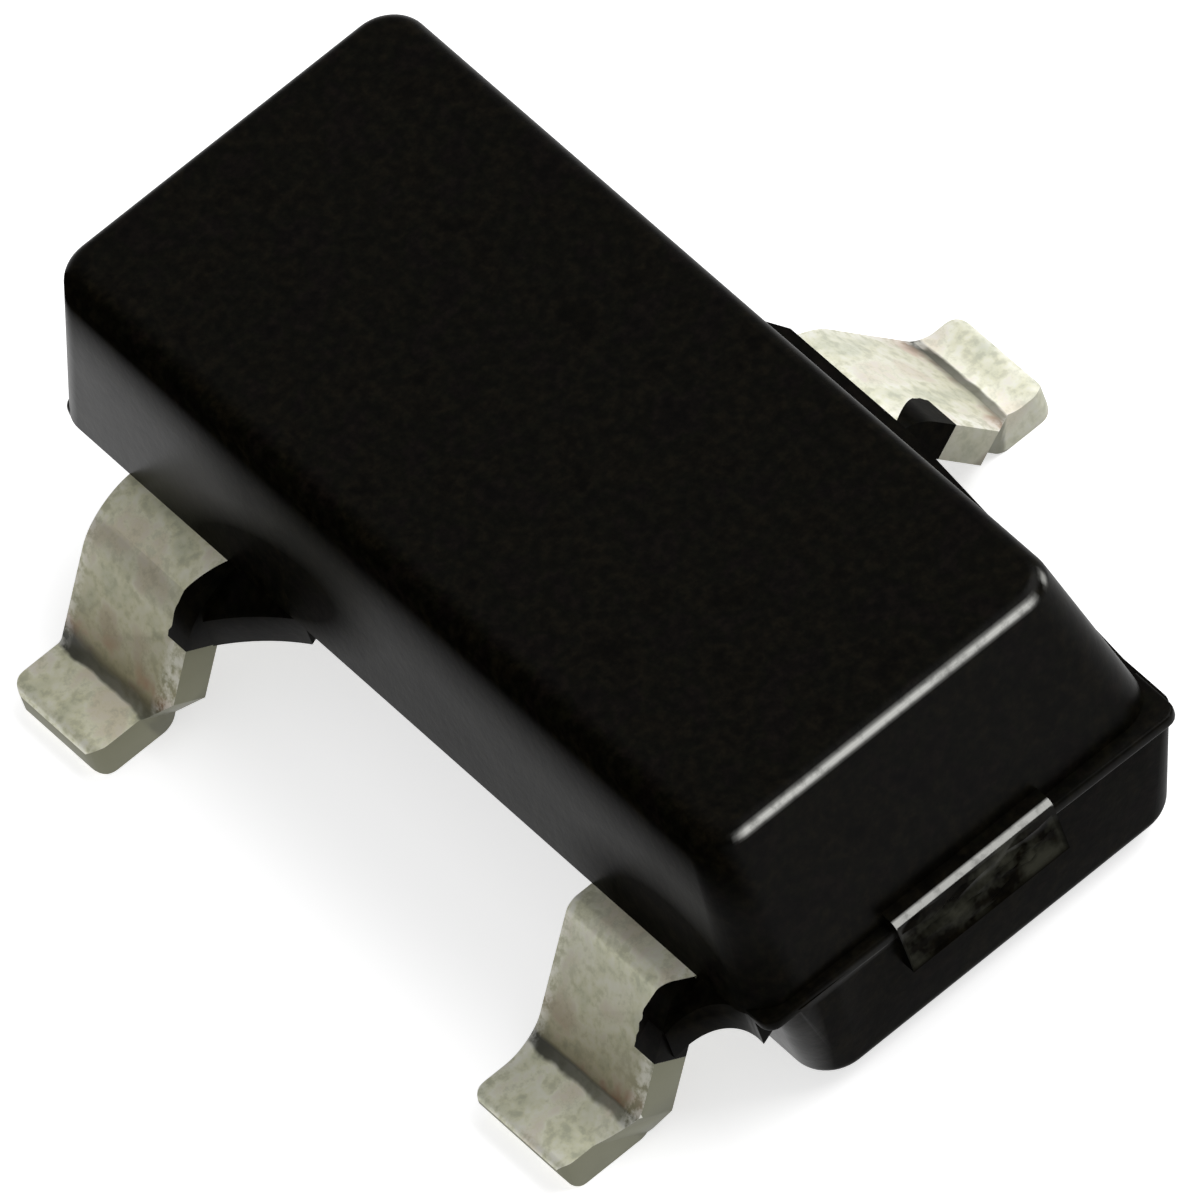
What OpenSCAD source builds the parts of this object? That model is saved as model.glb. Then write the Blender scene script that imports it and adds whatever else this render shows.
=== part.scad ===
// Three-lead surface-mount digital transistor in a small moulded gull-wing package.
// Millimetres. The soles of the feet lie on z = 0, under the middle of the body.
// +Z is up, +X runs along the body, -Y is the side with two leads.

/* [Moulded body] */
// Length of the body at the parting line
body_l = 2.9; // [2.8:0.05:3.05]
// Width of the body at the parting line
body_w = 1.3; // [1.2:0.05:1.4]
// Gap between the board and the underside of the body
standoff = 0.045; // [0.02:0.005:0.1]
// Height of the lower half, from the underside to the parting line
lower_h = 0.405; // [0.36:0.005:0.46]
// Height of the upper half, from the parting line to the top
upper_h = 0.55; // [0.5:0.01:0.6]
// Draft angle of the upper half's sides, in degrees
upper_draft = 9.5; // [5:0.5:12]
// Draft angle of the lower half's sides, in degrees
lower_draft = 8; // [5:0.5:12]
// Radius of the upper half's upright corners
corner_r = 0.11; // [0.08:0.01:0.2]
// Radius of the lower half's upright corners at the parting line
lower_corner_r = 0.06; // [0.04:0.01:0.15]
// Radius of the lower half's upright corners at the underside
under_corner_r = 0.11; // [0.08:0.01:0.2]
// Radius of the edges round the top face
top_edge_r = 0.045; // [0.02:0.005:0.07]
// Radius of the edges round the underside
bottom_edge_r = 0.06; // [0.02:0.005:0.07]
// How far the lower half is set in from the upper one, on every side
set_in = 0.02; // [0:0.005:0.03]
// How far the upper half of the mould sat toward the end without the gate
upper_shift_x = 0.025; // [0:0.005:0.03]
// How far the upper half of the mould sat toward the two front leads
upper_shift_y = 0.012; // [0:0.002:0.03]
// How far the lower half of the mould sat toward the end with the gate
lower_shift_x = 0.025; // [0:0.005:0.03]
// How far the lower half of the mould sat toward the single lead
lower_shift_y = 0.03; // [0:0.01:0.06]

/* [Moulding traces] */
// Thickness of the thin fin that the parting line leaves
fin_t = 0.035; // [0.02:0.005:0.06]
// Radius of the fin's corners, smaller than the body's own
fin_corner_r = 0.04; // [0.02:0.01:0.08]
// How far the fin stands out at its back corner, on the end with the gate
fin_ear = 0.025; // [0:0.005:0.04]
// Width of the broken gate on the end of the body
gate_w = 0.5; // [0.3:0.02:0.7]
// Reach of the broken gate above the parting line
gate_up = 0.05; // [0.02:0.01:0.08]
// Reach of the broken gate below the parting line
gate_down = 0.14; // [0.08:0.01:0.25]
// How far the broken gate stands out from the end
gate_out = 0.025; // [0.01:0.005:0.05]
// Reach along the body of the resin web beside the base lead
web_l = 0.3; // [0.2:0.01:0.4]
// Reach along the body of the resin web between the emitter lead and the end
end_web_l = 0.24; // [0.15:0.01:0.25]
// Reach of a resin web away from the body
web_out = 0.15; // [0.1:0.01:0.17]
// Width of a web's outer end, beside the lead
web_end = 0.035; // [0.02:0.005:0.06]
// How far a web's outer end hangs below its root
web_droop = 0.09; // [0:0.01:0.1]
// Hollow of the free edge of the web beside the base lead
web_hollow = 0.01; // [0.005:0.005:0.06]
// Hollow of the free edge of the web near the end
end_web_hollow = 0.05; // [0.005:0.005:0.06]
// Reach along the body of the small web beside the collector lead
back_web_l = 0.06; // [0.05:0.01:0.15]
// How far the flash over the collector lead stands out from the back
flash_out = 0.085; // [0.03:0.005:0.1]
// Length of that flash's outer edge, from the collector lead's edge
flash_l = 0.5; // [0.4:0.02:0.8]
// Length over which it runs out toward the end without the gate
flash_near_run = 0.2; // [0.1:0.02:0.5]
// Length over which it runs out toward the end with the gate
flash_far_run = 1; // [0.3:0.05:1]

/* [Leads] */
// Distance between the middles of the two front leads
lead_pitch = 1.9; // [1.8:0.05:2]
// Width of a lead
lead_w = 0.4; // [0.34:0.02:0.48]
// Thickness of the lead frame metal
lead_t = 0.1; // [0.08:0.01:0.12]
// Distance over the tips of opposite feet
lead_span = 2.34; // [2.3:0.02:2.6]
// Length along the leg of the stub that is left of the frame's tie bar
stub_l = 0.16; // [0.1:0.01:0.17]
// Length over which the trimmed side runs in from that stub to the foot
stub_run = 0.1; // [0.05:0.01:0.12]
// Rounding of the toes, seen from the side
toe_r = 0.03; // [0.01:0.005:0.035]
// Rounding of the toes' corners, seen from above
toe_corner_r = 0.05; // [0.02:0.01:0.08]
// Radius under the heels
heel_r = 0.05; // [0.03:0.01:0.08]
// Smallest radius in the hollow under a knee
hollow_r = 0.04; // [0.02:0.01:0.06]
// Distance along the metal from the body to the end of the notch above the stub
trim_end = 0.295; // [0.25:0.005:0.32]
// Length over which that notch slants in at its end near the body
trim_slant = 0.09; // [0.03:0.01:0.1]

/* [Base lead] */
// Slope of the leg, measured from the board, in degrees
base_slope = 58; // [50:1:66]
// Radius over the knee
base_knee_r = 0.23; // [0.05:0.01:0.24]
// Radius of the crease between leg and foot
base_crease_r = 0.02; // [0.01:0.01:0.16]
// Length of the foot's upper face, from the crease to the toe
base_foot_l = 0.17; // [0.12:0.005:0.22]
// How far the cut end face leans in toward the sole
base_toe_lean = 0; // [0:0.005:0.04]
// How far the stub of the tie bar stands out
base_stub_out = 0.04; // [0.01:0.001:0.05]
// How far the foot's trimmed side is set in
base_foot_in = 0.05; // [0:0.005:0.06]
// Depth of the trimming notch
base_trim = 0.035; // [0.02:0.005:0.1]
// Distance from the body to the start of that notch
base_trim_start = 0.03; // [0.03:0.01:0.1]

/* [Emitter lead] */
// Slope of the leg, measured from the board, in degrees
emitter_slope = 57; // [50:1:66]
// Radius over the knee
emitter_knee_r = 0.05; // [0.05:0.01:0.24]
// Radius of the crease between leg and foot
emitter_crease_r = 0.16; // [0.01:0.01:0.16]
// Length of the foot's upper face, from the crease to the toe
emitter_foot_l = 0.205; // [0.12:0.005:0.22]
// How far the cut end face leans in toward the sole
emitter_toe_lean = 0.03; // [0:0.005:0.04]
// How far the stub of the tie bar stands out
emitter_stub_out = 0.022; // [0.01:0.001:0.05]
// How far the foot's trimmed side is set in
emitter_foot_in = 0.035; // [0:0.005:0.06]
// Depth of the trimming notch
emitter_trim = 0.06; // [0.02:0.005:0.1]
// Distance from the body to the start of that notch
emitter_trim_start = 0.05; // [0.03:0.01:0.1]

/* [Collector lead] */
// Slope of the leg, measured from the board, in degrees
collector_slope = 52; // [50:1:66]
// Radius over the knee
collector_knee_r = 0.2; // [0.05:0.01:0.24]
// Radius of the crease between leg and foot
collector_crease_r = 0.1; // [0.01:0.01:0.16]
// Length of the foot's upper face, from the crease to the toe
collector_foot_l = 0.13; // [0.12:0.005:0.22]
// How far the cut end face leans in toward the sole
collector_toe_lean = 0; // [0:0.005:0.04]
// How far the stub of the tie bar stands out
collector_stub_out = 0.035; // [0.01:0.001:0.05]
// How far the foot's trimmed side is set in
collector_foot_in = 0.045; // [0:0.005:0.06]
// Depth of the trimming notch
collector_trim = 0.08; // [0.02:0.005:0.1]
// Distance from the body to the start of that notch
collector_trim_start = 0.1; // [0.03:0.01:0.12]

/* [Lead frame inside] */
// Length of a front lead inside the body
finger_l = 0.34; // [0.3:0.01:0.38]
// Width of a front lead's inner end, where the wire lands
finger_w = 0.62; // [0.5:0.02:0.7]
// Length of that wide inner end
finger_end_l = 0.22; // [0.16:0.01:0.24]
// Length of the chip's paddle, along the body
paddle_l = 1.1; // [0.8:0.05:1.3]
// Gap between the front leads' inner ends and the paddle
paddle_gap = 0.12; // [0.08:0.01:0.15]
// Distance from the paddle's back edge to the side of the body
paddle_back = 0.17; // [0.14:0.01:0.2]
// Radius of the corners of the inner frame
frame_r = 0.04; // [0.02:0.005:0.05]

/* [Chip] */
// Side of the square chip
chip_side = 0.38; // [0.34:0.02:0.42]
// Thickness of the chip
chip_t = 0.13; // [0.1:0.01:0.16]
// Thickness of the silver-filled layer under the chip
attach_t = 0.02; // [0.01:0.005:0.03]
// How far that layer squeezes out past the chip
attach_out = 0.02; // [0.01:0.005:0.03]
// Side of a square bond pad
pad_side = 0.09; // [0.08:0.01:0.1]
// Distance from a bond pad's middle to the chip's middle line
pad_x = 0.1; // [0.08:0.005:0.11]
// Distance from a bond pad's edge to the chip's front edge
pad_edge = 0.03; // [0.02:0.005:0.04]
// Height of the bond pads and the resistor tracks over the silicon
relief_t = 0.006; // [0.004:0.001:0.01]
// Width of a resistor track
track_w = 0.012; // [0.008:0.001:0.014]
// Length of one straight run of a resistor track
track_l = 0.11; // [0.08:0.01:0.12]
// Straight runs in each of the two bias resistors
track_runs = 5; // [3:1:6]

/* [Bond wires] */
// Diameter of a bond wire
wire_d = 0.025; // [0.02:0.0025:0.03]
// Height of the top of the loop over the chip
loop_h = 0.14; // [0.12:0.01:0.18]
// Radius of the wire's bend at the top of the loop
loop_r = 0.07; // [0.05:0.005:0.08]
// Diameter of the flattened ball on the bond pad
ball_d = 0.07; // [0.06:0.005:0.08]
// Height of that ball
ball_h = 0.02; // [0.015:0.005:0.03]
// Diameter of the pressed stitch on the lead
stitch_d = 0.075; // [0.06:0.005:0.09]
// Thickness of that stitch
stitch_t = 0.01; // [0.006:0.002:0.012]
// Distance from the stitch to the inner edge of the lead's wide end
stitch_in = 0.12; // [0.08:0.01:0.16]

/* [Hidden] */
$fn = 32;

// Levels that the pieces share
parting_z = standoff + lower_h;
frame_z = parting_z - lead_t;
attach_z = parting_z + attach_t;
chip_z = attach_z + chip_t;
pad_z = chip_z + relief_t;

// Plan of the lead frame and the chip
lead_x = lead_pitch / 2;
finger_y = -body_w / 2 + finger_l;
paddle_y0 = finger_y + paddle_gap;
paddle_y1 = body_w / 2 - paddle_back;
chip_y = (paddle_y0 + paddle_y1) / 2;
pad_y = chip_y - chip_side / 2 + pad_edge + pad_side / 2;
finger_inner_x = lead_x + lead_w / 2 - finger_w;
stitch_x = finger_inner_x + stitch_in;
stitch_y = finger_y - finger_end_l / 2;

// How far a lead reaches from the side of the body
lead_reach = (lead_span - body_w) / 2;

// Length of a lead's bent part that is let into the flat part of the frame
root_l = 0.1;

// Straight pieces in each rounded corner of an outline
arc_steps = 10;

// An outline whose corners are given as [point, radius], each rounded by an arc
function unit(v) = v / norm(v);
function rounded_corner(a, b, c, r) =
    let (
        u = unit(a - b),
        v = unit(c - b),
        half = acos(u * v) / 2,
        centre = b + unit(u + v) * r / sin(half),
        start = b + u * r / tan(half) - centre,
        end = b + v * r / tan(half) - centre,
        turn = (cross(start, end) < 0 ? -1 : 1) * (180 - 2 * half)
    )
    [for (i = [0 : arc_steps])
        let (w = turn * i / arc_steps)
        centre + [start.x * cos(w) - start.y * sin(w), start.x * sin(w) + start.y * cos(w)]];
function rounded_outline(corners) =
    let (n = len(corners))
    [for (i = [0 : n - 1])
        let (
            a = corners[(i + n - 1) % n][0],
            b = corners[i][0],
            c = corners[(i + 1) % n][0],
            r = corners[i][1]
        )
        each r > 0 ? rounded_corner(a, b, c, r) : [b]];

// Distance from the body to the line where a lead's flat upper face and its leg's outer face meet
function knee_reach(slope, foot_l) = lead_reach - foot_l - frame_z / tan(slope);

// Side view of a lead's bent part: the first number runs away from the body, the second up.
// The metal is one thickness along the leg, so its two faces are parallel. The bend over the
// knee starts outside the body at the earliest.
function lead_side_view(slope, knee_r, crease_r, foot_l, toe_lean) =
    let (
        crease = lead_reach - foot_l,
        knee = knee_reach(slope, foot_l),
        inset = lead_t * tan(slope / 2),
        over_knee = min(knee_r, knee / tan(slope / 2))
    )
    rounded_outline([
        [[-root_l, parting_z], 0],
        [[knee, parting_z], over_knee],
        [[crease, lead_t], crease_r],
        [[lead_reach, lead_t], toe_r],
        [[lead_reach - toe_lean, 0], toe_r],
        [[crease - inset, 0], heel_r],
        [[knee - inset, frame_z], max(over_knee - lead_t, hollow_r)],
        [[-root_l, frame_z], 0]
    ]);

// Extrudes an outline drawn on a leg's outer face, whose y is 0 at the knee, through the metal
module through_leg(slope, foot_l) {
    translate([0, -knee_reach(slope, foot_l), parting_z])
        rotate([slope, 0, 0])
            linear_extrude(2 * parting_z, center = true)
                children();
}

// The bent part of a front lead before its notch is cut, from the side of the body at y = 0.
// Its trimmed side is at the right for side = 1 and at the left for side = -1.
module bent_strip(slope, knee_r, crease_r, foot_l, toe_lean, stub_out, foot_in, side) {
    edge = lead_w / 2;
    stub = side * (edge + stub_out);
    foot = side * (edge - foot_in);
    beyond = side * lead_w;
    toe_zone = 1.5 * toe_corner_r - lead_reach;
    stub_end = knee_reach(slope, foot_l) - trim_end - stub_l;
    difference() {
        intersection() {
            rotate([90, 0, -90])
                linear_extrude(2 * lead_w, center = true)
                    polygon(lead_side_view(slope, knee_r, crease_r, foot_l, toe_lean));
            linear_extrude(parting_z)
                polygon(rounded_outline([
                    [[-side * edge, root_l], 0],
                    [[-side * edge, -lead_reach], toe_corner_r],
                    [[foot, -lead_reach], toe_corner_r],
                    [[foot, toe_zone], 0],
                    [[stub, toe_zone], 0],
                    [[stub, root_l], 0]
                ]));
        }
        through_leg(slope, foot_l)
            polygon([
                [beyond, stub_end],
                [stub, stub_end],
                [foot, stub_end - stub_run],
                [foot, -2 * lead_reach],
                [beyond, -2 * lead_reach]
            ]);
    }
}

// The punch that cuts the notch in that side, between the body and the stub.
// It slants in from the body, and its far end stands square to the leg.
module trimming_punch(slope, foot_l, trim, start, side) {
    inner = side * (lead_w / 2 - trim);
    beyond = side * lead_w;
    far_end = knee_reach(slope, foot_l) - trim_end;
    intersection() {
        linear_extrude(2 * parting_z)
            polygon([
                [beyond, -start + lead_w / 2 * trim_slant / trim],
                [inner, -start - trim_slant],
                [inner, -lead_reach],
                [beyond, -lead_reach]
            ]);
        through_leg(slope, foot_l)
            polygon([[inner, far_end], [beyond, far_end], [beyond, lead_reach], [inner, lead_reach]]);
    }
}

// The three strips and their notches, each in its place on the body
module base_strip() {
    translate([-lead_x, -body_w / 2, 0])
        bent_strip(base_slope, base_knee_r, base_crease_r, base_foot_l, base_toe_lean,
            base_stub_out, base_foot_in, 1);
}

module base_notch() {
    translate([-lead_x, -body_w / 2, 0])
        trimming_punch(base_slope, base_foot_l, base_trim, base_trim_start, 1);
}

module emitter_strip() {
    translate([lead_x, -body_w / 2, 0])
        bent_strip(emitter_slope, emitter_knee_r, emitter_crease_r, emitter_foot_l,
            emitter_toe_lean, emitter_stub_out, emitter_foot_in, 1);
}

module emitter_notch() {
    translate([lead_x, -body_w / 2, 0])
        trimming_punch(emitter_slope, emitter_foot_l, emitter_trim, emitter_trim_start, 1);
}

module collector_strip() {
    translate([0, body_w / 2, 0])
        rotate([0, 0, 180])
            bent_strip(collector_slope, collector_knee_r, collector_crease_r, collector_foot_l,
                collector_toe_lean, collector_stub_out, collector_foot_in, -1);
}

module collector_notch() {
    translate([0, body_w / 2, 0])
        rotate([0, 0, 180])
            trimming_punch(collector_slope, collector_foot_l, collector_trim,
                collector_trim_start, -1);
}

// A flat piece of the frame inside the body
module frame_piece(outline) {
    translate([0, 0, frame_z])
        linear_extrude(lead_t)
            polygon(rounded_outline(outline));
}

// The finger of a front lead inside the body, whose wide end takes the wire
module finger(side) {
    outer = side * (lead_x + lead_w / 2);
    inner = side * (lead_x - lead_w / 2);
    wide = side * finger_inner_x;
    neck = finger_y - finger_end_l;
    frame_piece([
        [[outer, -body_w / 2], 0],
        [[outer, finger_y], frame_r],
        [[wide, finger_y], frame_r],
        [[wide, neck], frame_r],
        [[inner, neck], frame_r],
        [[inner, -body_w / 2], 0]
    ]);
}

module base_lead() {
    color("#A8A896") {
        difference() {
            base_strip();
            base_notch();
        }
        finger(-1);
    }
}

module emitter_lead() {
    color("#A8A896") {
        difference() {
            emitter_strip();
            emitter_notch();
        }
        finger(1);
    }
}

// The back lead and the paddle that carries the chip are one piece of the frame
module collector_lead() {
    color("#CDC8B0") {
        difference() {
            collector_strip();
            collector_notch();
        }
        frame_piece([
            [[-paddle_l / 2, paddle_y0], frame_r],
            [[paddle_l / 2, paddle_y0], frame_r],
            [[paddle_l / 2, paddle_y1], frame_r],
            [[lead_w / 2, paddle_y1], frame_r],
            [[lead_w / 2, body_w / 2], 0],
            [[-lead_w / 2, body_w / 2], 0],
            [[-lead_w / 2, paddle_y1], frame_r],
            [[-paddle_l / 2, paddle_y1], frame_r]
        ]);
    }
}

// The silver-filled layer that holds the chip to the paddle
module die_attach() {
    side = chip_side + 2 * attach_out;
    color("#8C8F92")
        translate([-side / 2, chip_y - side / 2, parting_z])
            cube([side, side, attach_t]);
}

// One bias resistor: straight runs side by side, joined at alternate ends
module resistor_track(x0, side) {
    pitch = 2 * track_w;
    for (i = [0 : track_runs - 1]) {
        translate([x0 + side * i * pitch - track_w / 2, 0, 0])
            cube([track_w, track_l, relief_t]);
        if (i < track_runs - 1)
            translate([x0 + side * (i + 0.5) * pitch - track_w, i % 2 * (track_l - track_w), 0])
                cube([2 * track_w, track_w, relief_t]);
    }
}

// The chip, with its two bond pads and the two bias resistors that make it a digital transistor
module silicon_die() {
    track_y = pad_y + pad_side / 2 + track_w;
    color("#55586A") {
        translate([-chip_side / 2, chip_y - chip_side / 2, attach_z])
            cube([chip_side, chip_side, chip_t]);
        for (side = [-1, 1]) {
            translate([side * pad_x - pad_side / 2, pad_y - pad_side / 2, chip_z])
                cube([pad_side, pad_side, relief_t]);
            translate([0, track_y, chip_z])
                resistor_track(side * 2 * track_w, side);
        }
    }
}

// A bond wire: ball on the chip, straight rise, bend, slope down, and stitch on the lead's wide end.
// Its side view has the ball at x = 0, the lead's upper face at y = 0 and the stitch at x = run.
module bond_wire(side) {
    across = side * (stitch_x - pad_x);
    along = stitch_y - pad_y;
    run = norm([across, along]);
    pad_up = pad_z - parting_z;
    bend = [loop_r, chip_z - parting_z + loop_h - wire_d / 2 - loop_r];
    landing = [run, wire_d / 2] - bend;
    slope = acos(loop_r / norm(landing)) + atan2(landing.y, landing.x);
    leaving = bend + loop_r * [cos(slope), sin(slope)];
    translate([side * pad_x, pad_y, parting_z])
        rotate([90, 0, atan2(along, across)]) {
            translate([0, pad_up])
                rotate([-90, 0, 0]) {
                    cylinder(d = ball_d, h = ball_h);
                    cylinder(d = wire_d, h = bend.y - pad_up);
                }
            translate(bend)
                rotate([0, 0, slope])
                    rotate_extrude(angle = 180 - slope)
                        translate([loop_r, 0])
                            circle(d = wire_d);
            translate(leaving)
                rotate([-90, 0, slope - 180])
                    cylinder(d = wire_d, h = norm([run, wire_d / 2] - leaving));
            translate([run, wire_d / 2])
                sphere(d = wire_d);
            translate([run, 0])
                rotate([-90, 0, 0])
                    cylinder(d = stitch_d, h = stitch_t);
        }
}

module base_wire() {
    color("#D9A64A") bond_wire(-1);
}

module emitter_wire() {
    color("#D9A64A") bond_wire(1);
}

// Half of the moulding, from the parting line at z = 0 to its far face at height h
module mould_half(l, w, h, draft, edge_r, near_corner_r, far_corner_r) {
    inset = (edge_r + (h - edge_r) * sin(draft)) / cos(draft) + far_corner_r - edge_r;
    hull()
        for (sx = [-1, 1], sy = [-1, 1]) {
            translate([sx * (l / 2 - near_corner_r), sy * (w / 2 - near_corner_r), 0])
                cylinder(r = near_corner_r, h = fin_t / 2);
            translate([sx * (l / 2 - inset), sy * (w / 2 - inset), h - edge_r])
                rotate_extrude()
                    intersection() {
                        translate([far_corner_r - edge_r, 0])
                            circle(edge_r);
                        translate([0, -edge_r])
                            square([far_corner_r, 2 * edge_r]);
                    }
        }
}

// Thin fin along the parting line, nearly square at the corners
module parting_fin() {
    end = body_l / 2;
    side = body_w / 2;
    translate([0, 0, -fin_t / 2])
        linear_extrude(fin_t)
            polygon(rounded_outline([
                [[-end, -side], fin_corner_r],
                [[end, -side], fin_corner_r],
                [[end + fin_ear, side], fin_corner_r],
                [[-end, side], fin_corner_r]
            ]));
}

// Stub of resin on the end of the body where the gate broke off
module broken_gate() {
    translate([body_l / 2 - corner_r, -gate_w / 2, -gate_down])
        cube([corner_r + gate_out, gate_w, gate_down + gate_up]);
}

// Points on an arc from a to b that bulges to the left by the given hollow
function hollow_arc(a, b, hollow) =
    let (
        chord = norm(b - a),
        along = (b - a) / chord,
        r = (chord * chord / 4 + hollow * hollow) / (2 * hollow),
        centre = (a + b) / 2 + [along.y, -along.x] * (r - hollow),
        half = asin(chord / (2 * r)),
        up = atan2(along.x, -along.y)
    )
    [for (i = [0 : arc_steps])
        let (w = up + half - 2 * half * i / arc_steps)
        centre + r * [cos(w), sin(w)]];

// Web of resin left in the corner between the front of the body and a lead's trimmed edge.
// It hangs down away from the body, as the lead beside it does.
module resin_web(reach, hollow) {
    edge = lead_w / 2;
    front = -body_w / 2;
    slope = web_droop / web_out;
    multmatrix([
        [1, 0, 0, 0],
        [0, 1, 0, 0],
        [0, slope, 1, -lead_t - slope * front],
        [0, 0, 0, 1]
    ])
        linear_extrude(lead_t)
            polygon(concat(
                [[edge - web_end, front + corner_r], [edge - web_end, front - web_out]],
                hollow_arc([edge + web_end, front - web_out], [edge + reach, front], hollow),
                [[edge + reach, front + corner_r]]
            ));
}

// Resin that bled along the parting line on the back, over the collector lead and beside it
module back_flash() {
    translate([-lead_w / 2, body_w / 2, -fin_t / 2])
        linear_extrude(fin_t)
            polygon([
                [-flash_near_run, -corner_r],
                [-flash_near_run, 0],
                [0, flash_out],
                [flash_l, flash_out],
                [flash_l + flash_far_run, 0],
                [flash_l + flash_far_run, -corner_r]
            ]);
}

// Resin that fills the notches in the leads and is held to the body by the webs
module notch_fillings() {
    intersection() {
        base_strip();
        base_notch();
    }
    intersection() {
        emitter_strip();
        emitter_notch();
    }
    intersection() {
        collector_strip();
        collector_notch();
    }
}

// The whole moulding in one piece, closed round everything that it holds
module molded_body() {
    color("#16161A")
        difference() {
            translate([0, 0, parting_z]) {
                translate([-upper_shift_x, -upper_shift_y, 0])
                    mould_half(body_l, body_w, upper_h, upper_draft, top_edge_r, corner_r,
                        corner_r);
                translate([lower_shift_x, lower_shift_y, 0])
                    mirror([0, 0, 1])
                        mould_half(body_l - 2 * set_in, body_w - 2 * set_in, lower_h, lower_draft,
                            bottom_edge_r, lower_corner_r, under_corner_r);
                parting_fin();
                broken_gate();
                back_flash();
                translate([-lead_x, 0, 0])
                    resin_web(web_l, web_hollow);
                translate([lead_x, 0, 0])
                    resin_web(end_web_l, end_web_hollow);
                mirror([0, 1, 0])
                    resin_web(back_web_l, web_hollow);
            }
            notch_fillings();
            base_lead();
            emitter_lead();
            collector_lead();
            silicon_die();
            die_attach();
            base_wire();
            emitter_wire();
        }
}

molded_body();
base_lead();
emitter_lead();
collector_lead();
silicon_die();
die_attach();
base_wire();
emitter_wire();
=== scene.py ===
"""Looks of a digital transistor in a three-lead surface-mount package.

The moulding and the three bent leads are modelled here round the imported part. The chip, its resin and
the two bond wires inside keep their own solids and get their finishes. The properties hold metres, but
a piece is modelled in millimetres, as a thousand times its size, because edit-mode tools merge and
bevel badly below a tenth of a millimetre. finish_piece() brings it down to its real size.
"""

import math

import bmesh
import bpy
from bpy.props import FloatProperty, FloatVectorProperty, PointerProperty
from bpy.types import Operator, Panel, PropertyGroup
from mathutils import Matrix, Vector


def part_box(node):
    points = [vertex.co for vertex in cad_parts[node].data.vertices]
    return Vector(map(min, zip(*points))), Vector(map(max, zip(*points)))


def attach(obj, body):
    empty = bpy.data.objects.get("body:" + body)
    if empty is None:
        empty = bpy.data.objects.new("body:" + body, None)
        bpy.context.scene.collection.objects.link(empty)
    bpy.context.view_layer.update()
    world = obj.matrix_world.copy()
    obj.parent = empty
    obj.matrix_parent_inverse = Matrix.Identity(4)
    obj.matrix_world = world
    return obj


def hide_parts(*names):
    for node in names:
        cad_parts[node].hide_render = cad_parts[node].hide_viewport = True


bl_info = {
    "name": "Three-lead digital transistor",
    "version": (1, 0, 0),
    "blender": (4, 5, 0),
    "location": "View3D > Sidebar > Transistor",
    "description": "Models the moulding and the bent leads of a small surface-mount transistor",
    "category": "Mesh",
}

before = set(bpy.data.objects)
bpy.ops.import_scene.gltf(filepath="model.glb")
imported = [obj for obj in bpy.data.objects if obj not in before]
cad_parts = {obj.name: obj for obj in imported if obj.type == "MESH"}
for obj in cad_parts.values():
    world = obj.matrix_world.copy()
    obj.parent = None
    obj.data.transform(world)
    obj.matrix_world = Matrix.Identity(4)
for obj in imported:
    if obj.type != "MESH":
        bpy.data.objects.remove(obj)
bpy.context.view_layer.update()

MM = 1000.0  # millimetres in a metre, and the scale at which pieces are modelled
NEAR = 1e-3  # how near, in millimetres, a place is to the one that is looked for
ALONG = 0.95  # how much of an edge's length lies along the axis that it runs along
FACING = 0.9  # how much of a face's normal points the way that it faces
SHARP = math.radians(40)  # least angle over a stamped edge
TEAR = 0.3  # how deep the gate's face is torn, as a share of its reach
RIM = 0.01  # millimetres of whole resin round the torn face
WHITE = (1, 1, 1, 1)
LEADS = ("base_lead", "emitter_lead", "collector_lead")
INNER_NODES = ("silicon_die", "die_attach", "base_wire", "emitter_wire")

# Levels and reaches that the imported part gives, in millimetres
underside, top_level = (corner.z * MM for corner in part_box("molded_body"))
parting_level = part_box("base_lead")[1].z * MM
toe_line = -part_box("base_lead")[0].y * MM
back_toe_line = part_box("collector_lead")[1].y * MM
finger_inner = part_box("base_lead")[1].x * MM
finger_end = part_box("base_lead")[1].y * MM
paddle_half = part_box("collector_lead")[1].x * MM
paddle_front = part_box("collector_lead")[0].y * MM


def channels(colour):
    """The three sRGB channels of a hex text."""
    return tuple(int(colour[i : i + 2], 16) / 255 for i in (1, 3, 5))


def linear(colour):
    """A colour given as an sRGB hex text or as three sRGB channels, as linear RGBA."""
    given = channels(colour) if isinstance(colour, str) else colour
    return tuple(c / 12.92 if c <= 0.04045 else ((c + 0.055) / 1.055) ** 2.4 for c in given) + (1.0,)


def shade(colour, factor):
    """A colour's three sRGB channels made darker or lighter by a factor."""
    return tuple(min(channel * factor, 1) for channel in colour)


def numbers(name, description, values, **settings):
    """A property that holds one number or several."""
    settings.update(name=name, description=description)
    if len(values) == 1:
        return FloatProperty(default=values[0], **settings)
    return FloatVectorProperty(default=values, size=len(values), **settings)


def a_length(name, description, *values):
    """A property of lengths in metres. Its default is given in millimetres."""
    return numbers(name, description, [value / MM for value in values], unit="LENGTH", precision=6)


def an_angle(name, description, *values):
    """A property of angles. Its default is given in degrees."""
    subtype = "ANGLE" if len(values) == 1 else "EULER"
    return numbers(name, description, [math.radians(value) for value in values], subtype=subtype)


def a_colour(name, description, default):
    """A property of three sRGB channels. Its default is given as a hex text."""
    return numbers(name, description, channels(default), subtype="COLOR_GAMMA")


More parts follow.
